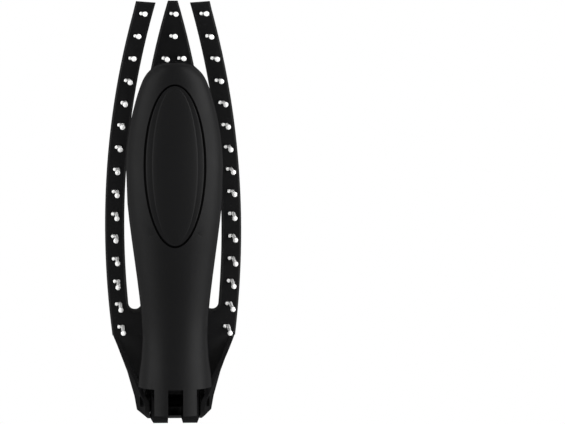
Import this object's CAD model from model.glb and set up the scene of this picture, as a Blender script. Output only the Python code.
import math
import random

import bmesh
import bpy
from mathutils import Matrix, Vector


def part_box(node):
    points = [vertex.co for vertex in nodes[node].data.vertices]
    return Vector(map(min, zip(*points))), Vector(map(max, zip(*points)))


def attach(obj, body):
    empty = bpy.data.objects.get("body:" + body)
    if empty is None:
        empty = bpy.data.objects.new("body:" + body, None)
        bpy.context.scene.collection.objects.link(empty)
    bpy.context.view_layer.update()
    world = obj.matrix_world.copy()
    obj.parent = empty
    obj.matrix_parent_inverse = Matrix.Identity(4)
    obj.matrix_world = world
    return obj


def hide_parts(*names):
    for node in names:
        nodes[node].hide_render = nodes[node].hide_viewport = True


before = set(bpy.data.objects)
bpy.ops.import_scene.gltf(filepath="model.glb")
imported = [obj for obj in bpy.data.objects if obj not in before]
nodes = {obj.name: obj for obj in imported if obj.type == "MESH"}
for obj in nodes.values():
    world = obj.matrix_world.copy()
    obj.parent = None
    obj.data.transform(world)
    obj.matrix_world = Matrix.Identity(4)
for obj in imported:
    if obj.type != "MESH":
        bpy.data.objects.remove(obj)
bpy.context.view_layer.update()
scene = bpy.context.scene
scene.view_settings.view_transform = "Standard"
mm = 0.001

# camera: a metre off, a little above the brush, aimed to its right so that it stands on the left
camera = {
    "watched": (0.0, 12.35, 64.3),      # mm, the middle of the head
    "distance": 999.0,
    "azimuth": -1.0,                    # degrees
    "elevation": 4.75,
    "lens": 202.1,
    "sensor": 36,
    "aside": 34.4,                      # mm from the watched point to the aim
    "below": 1.22,
    "nearest": 0.01,                    # metres
}


def buildCamera(c):
    turn, lift = math.radians(c["azimuth"]), math.radians(c["elevation"])
    watched = Vector(c["watched"]) * mm
    away = Vector((math.sin(turn) * math.cos(lift), -math.cos(turn) * math.cos(lift), math.sin(lift)))
    right = Vector((math.cos(turn), math.sin(turn), 0))
    up = right.cross(-away)
    place = watched + away * c["distance"] * mm
    aim = watched + (right * c["aside"] - up * c["below"]) * mm
    data = bpy.data.cameras.new("camera")
    data.lens = c["lens"]
    data.sensor_width = c["sensor"]
    data.clip_start = c["nearest"]
    holder = bpy.data.objects.new("camera", data)
    scene.collection.objects.link(holder)
    holder.location = place
    holder.rotation_euler = (aim - place).to_track_quat("-Z", "Y").to_euler()
    scene.camera = holder


buildCamera(camera)
print("camera set")


# shader maths: a socket that takes the operators used below
class Wire:
    def __init__(self, finish, socket):
        self.finish, self.socket = finish, socket

    def maths(self, operation, first, second):
        return self.finish.node("Math", {"operation": operation}, [first, second])

    def __add__(self, other):
        return self.maths("ADD", self, other)

    __radd__ = __add__

    def __mul__(self, other):
        return self.maths("MULTIPLY", self, other)

    __rmul__ = __mul__

    def __sub__(self, other):
        return self.maths("SUBTRACT", self, other)

    def __rsub__(self, other):
        return self.maths("SUBTRACT", other, self)


class Finish:
    def __init__(self, holder):         # a material or a world
        holder.use_nodes = True
        self.holder = holder
        self.tree = holder.node_tree
        self.tree.nodes.clear()

    def node(self, kind, settings=None, sockets=None, outlet=0):
        made = self.tree.nodes.new("ShaderNode" + kind)
        for key, value in (settings or {}).items():
            setattr(made, key, value)
        named = sockets.items() if isinstance(sockets, dict) else enumerate(sockets or [])
        for key, value in named:
            if isinstance(value, Wire):
                self.tree.links.new(value.socket, made.inputs[key])
            else:
                made.inputs[key].default_value = value
        return Wire(self, made.outputs[outlet])

    def place(self):
        return self.node("TexCoord", outlet=3)      # object coordinates, in metres

    def noise(self, scale, detail=2.0, roughness=0.5, stretch=(1, 1, 1)):
        spread = self.node("Mapping", None, {"Vector": self.place(), "Scale": stretch})
        return self.node("TexNoise", None, {
            "Vector": spread, "Scale": scale, "Detail": detail, "Roughness": roughness,
        })

    def ramp(self, value, low, high, dark=0.0, light=1.0):
        return self.node("MapRange", None, [value, low, high, dark, light])

    def mix(self, factor, first, second):
        return self.node("Mix", {"data_type": "RGBA"}, {0: factor, 6: first, 7: second}, outlet=2)

    def bump(self, height, distance):
        return self.node("Bump", None, {"Height": height, "Distance": distance, "Strength": 1.0})

    def seen(self):
        # 1 where a ray comes from the camera, a gloss or a clear filament, which all see plain white
        direct, gloss, clear = (
            self.node("LightPath", outlet=f"Is {kind} Ray") for kind in ("Camera", "Glossy", "Transmission")
        )
        return direct + gloss + clear

    def done(self, shader, kind="Material"):
        out = self.tree.nodes.new("ShaderNodeOutput" + kind)
        self.tree.links.new(shader.socket, out.inputs["Surface"])
        return self.holder

    def surface(self, sockets):
        return self.done(self.node("BsdfPrincipled", None, sockets))


# black plastic of the mouldings, with the fine spark texture of their moulds
plastic = {
    "black": (0.0030, 0.0030, 0.00318, 1),
    "worn": (0.0046, 0.0046, 0.00488, 1),   # where handling has dulled it
    "specular": 0.07,
    "roughness": 0.43, "roughSpread": 0.05,
    "grain": 5200.0,                        # patterns are given in cycles per metre
    "grainDepth": 0.000012,                 # metres
    "grainRough": 0.08,
    "cloud": 60.0, "cloudRange": (0.3, 0.7),            # patches of handling
    # flow marks along the moulding
    "flow": 24.0, "flowStretch": (3.0, 3.0, 0.5), "flowRange": (0.35, 0.7), "flowShare": 0.35,
    # edges this sharp are rubbed, in patches
    "rubEdges": (0.52, 0.62), "rubPatches": (0.42, 0.66), "rubShare": 0.55, "rubPolish": 0.08,
    "edgeOn": (0.35, 0.85),                 # slant of the view between which the shine fades
    "matte": 0.94,                          # share of it that is lost
    "dust": (0.024, 0.024, 0.0242, 1),      # lies where brushing doesn't reach it, in the hinge's socket
    "shelter": 0.012,                       # metres to the walls that shelter it
    "openness": (0.92, 0.45),               # where the dust starts, and where it lies fully
    "dustPatches": (0.2, 0.6, 0.8, 1.0),    # a range of the patches, and the dust's share at its ends
}
padPlastic = {**plastic, "grain": plastic["grain"] * 1.4, "grainDepth": plastic["grainDepth"] * 0.7}
deepPlastic = {
    **plastic, "black": (0.0006, 0.0006, 0.0006, 1), "worn": (0.0009, 0.0009, 0.0009, 1),
    "specular": 0.02, "roughness": 0.6,
}


def mouldedPlastic(name, p, dusty=False):
    f = Finish(bpy.data.materials.new(name))
    grain = f.noise(p["grain"], roughness=0.6)
    cloud = f.noise(p["cloud"], detail=3.0)
    flow = f.noise(p["flow"], stretch=p["flowStretch"])
    edges = f.node("NewGeometry", outlet=7)         # pointiness
    rub = f.ramp(edges, *p["rubEdges"]) * f.ramp(cloud, *p["rubPatches"])
    streaked = f.mix(f.ramp(flow, *p["flowRange"]) * p["flowShare"], p["black"], p["worn"])
    colour = f.mix(rub * p["rubShare"], streaked, p["worn"])
    if dusty:
        sheltered = f.node("AmbientOcclusion", {"only_local": True}, {"Distance": p["shelter"]}, outlet="AO")
        dust = f.ramp(sheltered, *p["openness"]) * f.ramp(cloud, *p["dustPatches"])
        colour = f.mix(dust, colour, p["dust"])
    least, most = p["roughness"] - p["roughSpread"], p["roughness"] + p["roughSpread"]
    handled = f.ramp(cloud, *p["cloudRange"], least, most)
    rough = handled + (grain - 0.5) * p["grainRough"] - rub * p["rubPolish"]
    bumps = f.bump(grain, p["grainDepth"])
    satin = f.node("BsdfPrincipled", None, {
        "Base Color": colour, "Roughness": rough, "Specular IOR Level": p["specular"], "Normal": bumps,
    })
    # the texture of the mould keeps the surface from shining when it is seen edge on
    matte = f.node("BsdfPrincipled", None, {
        "Base Color": colour, "Roughness": 1.0, "Specular IOR Level": 0.0, "Normal": bumps,
    })
    slant = f.node("LayerWeight", None, {"Blend": 0.5}, outlet="Facing")
    low, high = p["edgeOn"]
    return f.done(f.node("MixShader", None, [f.ramp(slant, low, high, 0.0, p["matte"]), satin, matte]))


framePlastic = mouldedPlastic("framePlastic", plastic, dusty=True)
gripPlastic = mouldedPlastic("gripPlastic", plastic)
inlayPlastic = mouldedPlastic("inlayPlastic", padPlastic)
pinPlastic = mouldedPlastic("pinPlastic", deepPlastic)

# drawn nylon of the bristles
filamentNylon = {
    "milky": (0.80, 0.80, 0.79, 1), "clear": (0.90, 0.90, 0.89, 1),
    "cloud": 900.0, "cloudRange": (0.35, 0.65),
    "streak": 1500.0, "streakStretch": (1.0, 0.12, 1.0), "streakRange": (0.3, 0.7), "streakDepth": 0.000008,
    "roughness": (0.16, 0.30),
    "index": 1.53,
}


def nylonFinish(p):
    f = Finish(bpy.data.materials.new("nylon"))
    cloud = f.noise(p["cloud"])
    streak = f.noise(p["streak"], stretch=p["streakStretch"])
    return f.surface({
        "Base Color": f.mix(f.ramp(cloud, *p["cloudRange"]), p["milky"], p["clear"]),
        "Roughness": f.ramp(streak, *p["streakRange"], *p["roughness"]), "IOR": p["index"],
        "Normal": f.bump(streak, p["streakDepth"]),
    })


nylon = nylonFinish(filamentNylon)

# rolled steel of the anchors
anchorSteel = {
    "dull": (0.42, 0.42, 0.43, 1), "bright": (0.56, 0.56, 0.57, 1),
    "lines": 2600.0, "lineStretch": (0.06, 1.0, 1.0), "lineRange": (0.3, 0.7), "lineDepth": 0.000006,
    "roughness": (0.28, 0.42),
}


def steelFinish(p):
    f = Finish(bpy.data.materials.new("pinSteel"))
    lines = f.noise(p["lines"], detail=3.0, stretch=p["lineStretch"])
    return f.surface({
        "Base Color": f.mix(f.ramp(lines, *p["lineRange"]), p["dull"], p["bright"]), "Metallic": 1.0,
        "Roughness": f.ramp(lines, *p["lineRange"], *p["roughness"]),
        "Normal": f.bump(lines, p["lineDepth"]),
    })


pinSteel = steelFinish(anchorSteel)
print("finishes made")


def dress(name, material):
    holder = nodes[name]
    holder.data.materials.clear()
    holder.data.materials.append(material)


dress("bristle_anchors", pinSteel)


# what the pieces share
def smoothStep(part):
    part = min(max(part, 0.0), 1.0)
    return part * part * (3 - 2 * part)


def ringFaces(first, count, around):
    # the faces between rings of corners, and the two that close the ends
    faces = []
    for ring in range(count - 1):
        low, high = first + ring * around, first + (ring + 1) * around
        for step in range(around):
            following = (step + 1) % around
            faces.append((low + step, low + following, high + following, high + step))
    faces.append(tuple(first + step for step in range(around))[::-1])
    faces.append(tuple(first + (count - 1) * around + step for step in range(around)))
    return faces


def newPiece(name, vertices, faces, material, sharpFrom, body, slot, stoodFor):
    mesh = bpy.data.meshes.new(name)
    mesh.from_pydata(vertices, [], faces)
    mesh.validate()
    mesh.shade_smooth()
    mesh.set_sharp_from_angle(angle=math.radians(sharpFrom))
    mesh.materials.append(material)
    piece = bpy.data.objects.new(name, mesh)
    scene.collection.objects.link(piece)
    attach(piece, body)
    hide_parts(stoodFor)
    return piece


# mouldings: the solids' own shapes, with their facets shaded as the smooth surfaces they follow
moulding = {
    "weld": 0.002,              # mm within which corners count as one
    "sharpFrom": 24.0,          # degrees
    # the handle's top is drawn down between these heights
    "crown": (101.0, 112.2), "crownDrop": 0.95, "crownCurve": 1.5,
    # the outer prongs' ends stand up between these heights, outside this half width
    "prongEnd": (126.5, 129.0), "prongRise": 0.45, "prongInside": 8.0,
    # half widths in the solid, and as the pieces fit here, with no light between them
    "hubInside": (2.3, 2.03), "hubOutside": (7.4, 7.67),
    "wallSide": (2.0, 2.27), "pinEnd": (10.2, 10.8),
    "sameSide": 0.01,           # how near to that half width a corner lies that belongs to the side
    "hubNose": (-12.0, -3.0), "hubNarrowing": 0.9,      # between these Y the hubs narrow forward
    "hinge": (-2.6, 5.5), "hubRound": 5.6,              # Y and Z of the axis, radius of the hub about it
    "slotTop": 9.0, "wallFront": 14.2,                  # the slots' wall lies below and behind these
}


def moveSide(spot, side, m, narrowing=0.0):
    was, now = m[side]
    if abs(abs(spot.x) - was) < m["sameSide"]:
        spot.x = math.copysign(now - narrowing, spot.x)


def shapeHead(spot, m):
    if spot.z < m["slotTop"] and spot.y > m["wallFront"]:
        moveSide(spot, "wallSide", m)
    low, high = m["prongEnd"]
    if abs(spot.x) > m["prongInside"]:
        spot.z += m["prongRise"] * smoothStep((spot.z - low) / (high - low))


def shapeGrip(spot, m):
    front, back = m["hubNose"]
    moveSide(spot, "hubOutside", m, m["hubNarrowing"] * smoothStep((back - spot.y) / (back - front)))
    hingeY, hingeZ = m["hinge"]
    if math.hypot(spot.y - hingeY, spot.z - hingeZ) < m["hubRound"]:
        moveSide(spot, "hubInside", m)
    shapeCrown(spot, m)


def shapeCrown(spot, m):
    low, high = m["crown"]
    if spot.z > low:
        spot.z -= m["crownDrop"] * ((spot.z - low) / (high - low)) ** m["crownCurve"]


def shapePin(spot, m):
    moveSide(spot, "pinEnd", m)


def buildMoulding(name, node, material, body, slot, shape, m):
    shell = bmesh.new()
    shell.from_mesh(nodes[node].data)
    bmesh.ops.remove_doubles(shell, verts=shell.verts, dist=m["weld"] * mm)
    shell.verts.index_update()
    vertices = []
    for v in shell.verts:
        spot = v.co / mm
        shape(spot, m)
        vertices.append(tuple(spot * mm))
    faces = [[v.index for v in f.verts] for f in shell.faces]
    shell.free()
    return newPiece(name, vertices, faces, material, m["sharpFrom"], body, slot, node)


buildMoulding("headMoulding", "head_frame", framePlastic, "head", "frame_plastic", shapeHead, moulding)
buildMoulding("gripMoulding", "handle_front", gripPlastic, "handle", "handle_plastic", shapeGrip, moulding)
buildMoulding("rearCover", "handle_back", gripPlastic, "handle", "handle_plastic", shapeCrown, moulding)
buildMoulding("hingePin", "hinge_pin", pinPlastic, "handle", "frame_plastic", shapePin, moulding)
print("mouldings made")


# inlay: an oval pad, level in the middle, whose rim falls away to the groove
inlay = {
    "height": 79.9, "halfWidth": 8.9, "halfLength": 24.4,      # mm
    "front": -21.5, "crown": 87.0, "bow": 460.0,               # its highest line and its bow from the side
    "round": (14.5, 7.8),       # half width and depth of the ellipse that it follows from above
    "sink": 0.17,               # level middle behind that surface
    "foot": -17.2,              # Y of the pocket's floor
    "rim": 2.1,                 # width of the rim
    "endShare": 0.3,            # of that width, at the oval's two ends
    "crease": (0.5, 0.07),      # width and fall of the rounded step at the rim's inner side
    "fall": -0.15,              # from there to the outline, against the round surface of the middle
    "edge": 0.25,               # rounded outer corner
    "around": 160,
    "edgeTurns": (30, 60, 90),  # degrees
    "rimSteps": (0.3, 0.55, 0.8),
    "creaseSteps": (0.0, 0.2, 0.4, 0.6, 0.8, 1.0),
    "middleRings": (0.82, 0.6, 0.4, 0.22, 0.08),
    "sharpFrom": 30.0,
}


def inlaySurface(x, z, p):
    half, depth = p["round"]
    drop = p["bow"] - math.sqrt(p["bow"] ** 2 - (z - p["crown"]) ** 2)
    return p["front"] + p["sink"] + drop + depth * (1 - math.sqrt(1 - (x / half) ** 2))


def inlayProfile(p):
    # distance in from the outline, and how far the surface lies below the level middle there
    crease, step = p["crease"]
    profile = [(0.0, p["fall"] + step + p["edge"])]
    for turn in p["edgeTurns"]:
        angle = math.radians(turn)
        inward = p["edge"] * (1 - math.cos(angle))
        slope = p["fall"] * (1 - inward / p["rim"])
        profile.append((inward, slope + step + p["edge"] * (1 - math.sin(angle))))
    for part in p["rimSteps"]:
        profile.append((p["rim"] * part, p["fall"] * (1 - part) + step))
    for part in p["creaseSteps"]:
        profile.append((p["rim"] + crease * (part - 0.5), step * (1 - smoothStep(part))))
    return profile


def ovalRing(p, inward, share=1.0):
    for count in range(p["around"]):
        angle = math.tau * count / p["around"]
        x = (p["halfWidth"] - inward) * share * math.cos(angle)
        z = p["height"] + (p["halfLength"] - inward * p["endShare"]) * share * math.sin(angle)
        yield x, z


def buildInlay(p):
    vertices = [(x, p["foot"], z) for x, z in ovalRing(p, 0.0)]
    profile = inlayProfile(p)
    for inward, below in profile:
        vertices += [(x, inlaySurface(x, z, p) + below, z) for x, z in ovalRing(p, inward)]
    reach = p["rim"] + p["crease"][0] / 2
    for share in p["middleRings"]:
        vertices += [(x, inlaySurface(x, z, p), z) for x, z in ovalRing(p, reach, share)]
    faces = ringFaces(0, 1 + len(profile) + len(p["middleRings"]), p["around"])
    vertices = [tuple(c * mm for c in v) for v in vertices]
    slot, stoodFor = "inlay_plastic", "grip_inlay"
    return newPiece("inlayPad", vertices, faces, inlayPlastic, p["sharpFrom"], "handle", slot, stoodFor)


buildInlay(inlay)
print("inlay made")


# bristles: one filament each, up from the stub, round the fold and out to the ball
rowNodes = sorted(name for name in nodes if name.startswith("bristle_row"))
bristle = {
    "filament": 1.05, "pitch": 1.16, "length": 17.2, "stub": 1.0,    # mm
    "solidPitch": 1.3,          # between the solid's legs, whose middle the fold shares
    "foldDepth": 2.825,         # of the filament's centre line behind the head's face
    "ball": 1.6, "swell": 1.85, "nose": 0.65,       # swelling up to the widest point, and from it to the tip
    "swellCurve": 1.5,
    "stray": 0.22,              # how far a tip stands off its place, either way
    "rise": (0.32, -0.2),       # how far the tips stand up in the top row, and in the bottom one
    "bend": 1.6,                # how late along its length a pin bends
    "tipDepth": 0.05, "apart": 2.0,     # what counts as one tip of the solid's, and as the next one
    "stubEnd": ((0.0, 0.45), (-0.05, 0.8), (-0.2, 1.0)),        # height, and share of the radius
    "foldSteps": 8,
    "legSteps": (0.0, 0.25, 0.5, 0.75, 1.0),
    "swellSteps": (0.25, 0.5, 0.65, 0.8, 0.9, 1.0),
    "noseTurns": (25, 45, 62, 76),      # degrees
    "around": 14,
    "sharpFrom": 50.0,
    "seed": 7,
}


def pinPlaces(node, p):
    # the solids' tips: where each filament's long leg points
    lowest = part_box(node)[0].y
    nearTip = lowest + p["tipDepth"] * mm
    tips = sorted((v.co.x, v.co.z) for v in nodes[node].data.vertices if v.co.y < nearTip)
    groups = [[tips[0]]]
    for tip in tips[1:]:
        if tip[0] - groups[-1][-1][0] > p["apart"] * mm:
            groups.append([])
        groups[-1].append(tip)
    for group in groups:
        across, heights = zip(*group)
        yield (min(across) + max(across)) / 2 / mm, lowest / mm, (min(heights) + max(heights)) / 2 / mm


def filamentPath(p):
    # sideways place, distance out of the head's face, radius
    thin, half = p["filament"] / 2, p["pitch"] / 2
    turn = half - p["foldDepth"]
    path = [(-half, p["stub"] + rise, thin * share) for rise, share in p["stubEnd"]]
    for step in range(p["foldSteps"] + 1):
        angle = math.pi * (1 + step / p["foldSteps"])
        path.append((half * math.cos(angle), turn + half * math.sin(angle), thin))
    start = p["length"] - p["swell"] - p["nose"]
    path += [(half, start * part, thin) for part in p["legSteps"]]
    wide = p["ball"] / 2
    for part in p["swellSteps"]:
        radius = thin + (wide - thin) * smoothStep(part) ** p["swellCurve"]
        path.append((half, start + p["swell"] * part, radius))
    for turned in p["noseTurns"]:
        angle = math.radians(turned)
        path.append((half, start + p["swell"] + p["nose"] * math.sin(angle), wide * math.cos(angle)))
    return path


def buildRow(number, node, p, chance):
    vertices, faces = [], []
    path = filamentPath(p)
    around = p["around"]
    top, bottom = p["rise"]
    lift = top + (bottom - top) * (number - 1) / (len(rowNodes) - 1)
    for x, tip, z in pinPlaces(node, p):
        face = tip + p["length"]
        aside = chance.uniform(-p["stray"], p["stray"])
        fall = chance.uniform(-p["stray"], p["stray"]) + lift
        faces += ringFaces(len(vertices), len(path), around)
        for index, (across, out, radius) in enumerate(path):
            before, after = path[max(index - 1, 0)], path[min(index + 1, len(path) - 1)]
            along = Vector((after[0] - before[0], -(after[1] - before[1]), 0)).normalized()
            side = along.cross(Vector((0, 0, 1)))
            bent = (max(out, 0) / p["length"]) ** p["bend"] * (across > 0)
            centre = Vector((x - p["solidPitch"] / 2 + across + aside * bent, face - out, z + fall * bent))
            for step in range(around):
                angle = math.tau * step / around
                spot = centre + (side * math.cos(angle) + Vector((0, 0, math.sin(angle)))) * radius
                vertices.append(tuple(spot * mm))
    return newPiece(f"bristleRow{number:02d}", vertices, faces, nylon, p["sharpFrom"], "head", "nylon", node)


chance = random.Random(bristle["seed"])
for number, node in enumerate(rowNodes, start=1):
    buildRow(number, node, bristle, chance)
print("bristles made:", len(rowNodes), "rows")


# stage and light: white wherever it is seen, and plain light on the brush
stage = {
    "white": (1.0, 1.0, 1.0, 1),
    "floor": (0.62, 0.62, 0.62, 1),
    "floorHeight": -0.104,              # metres, just under the handle when it is swung right out
    "floorHalf": 1.5,
    "world": 0.37,
    "aimed": (0.0, 0.0, 0.065),         # at the middle of the brush
    "lamps": {                          # place and size in metres, watts
        "leftLamp": ((-0.45, -0.24, 0.08), (0.45, 0.70), 3.9),
        "rightLamp": ((0.45, -0.24, 0.08), (0.45, 0.70), 6.4),
        "topLamp": ((0.0, -0.35, 0.75), (0.50, 0.50), 0.3),
    },
}


def paleFinish(name, s):
    f = Finish(bpy.data.materials.new(name))
    shade = f.node("BsdfDiffuse", None, {"Color": s["floor"]})
    glow = f.node("Emission", None, {"Color": s["white"], "Strength": 1.0})
    return f.done(f.node("MixShader", None, [f.seen(), shade, glow]))


def buildWorld(s):
    scene.world = bpy.data.worlds.new("studio")
    f = Finish(scene.world)
    f.done(f.node("Background", None, [s["white"], f.seen() * (1 - s["world"]) + s["world"]]), "World")


def buildFloor(s):
    half = s["floorHalf"]
    corners = [(-half, -half, 0), (half, -half, 0), (half, half, 0), (-half, half, 0)]
    mesh = bpy.data.meshes.new("floor")
    mesh.from_pydata(corners, [], [(0, 1, 2, 3)])
    floor = bpy.data.objects.new("floor", mesh)
    floor.location.z = s["floorHeight"]
    floor.data.materials.append(paleFinish("paleFloor", s))
    scene.collection.objects.link(floor)


def buildLamps(s):
    middle = Vector(s["aimed"])
    for name, (place, size, power) in s["lamps"].items():
        data = bpy.data.lights.new(name, "AREA")
        data.shape = "RECTANGLE"
        data.size, data.size_y = size
        data.energy = power
        lamp = bpy.data.objects.new(name, data)
        lamp.location = place
        lamp.rotation_euler = (middle - Vector(place)).to_track_quat("-Z", "Y").to_euler()
        scene.collection.objects.link(lamp)


buildWorld(stage)
buildFloor(stage)
buildLamps(stage)
print("stage and lamps set")
